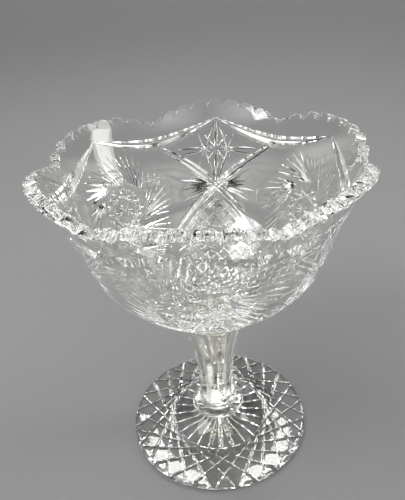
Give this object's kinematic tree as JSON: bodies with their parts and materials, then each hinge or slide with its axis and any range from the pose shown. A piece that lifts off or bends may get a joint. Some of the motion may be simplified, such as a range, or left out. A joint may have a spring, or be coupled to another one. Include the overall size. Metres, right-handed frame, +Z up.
{
  "type": "punch bowl",
  "caption": "Deep lobed cut-glass punch bowl with a toothed flared rim; its ground peg drops into a tall panelled pedestal stand on a round foot.",
  "frame": {"origin": "centre of the foot's flat resting face", "axes": "+Z up through the stem and bowl, one rim lobe centred on +Y and its opposite lobe on -Y"},
  "size_m": [0.2932, 0.307, 0.3401],
  "materials": {
    "bowl_crystal": "polished clear lead crystal, mitre cut",
    "stem_crystal": "polished lead crystal with a faint ivory cast where it is thick",
    "foot_crystal": "polished clear lead crystal, mitre cut"
  },
  "bodies": {
    "stand": {"foot": "foot_crystal", "base_collar": "foot_crystal", "ring_collar": "foot_crystal", "stem": "stem_crystal", "stem_collar": "stem_crystal"},
    "bowl": {"bowl": "bowl_crystal", "bowl_peg": "bowl_crystal"}
  },
  "joints": [
    {"name": "bowl_lift", "type": "slide", "parent": "stand", "child": "bowl", "axis": [0, 0, 1], "range_m": [0, 0.08]}
  ]
}
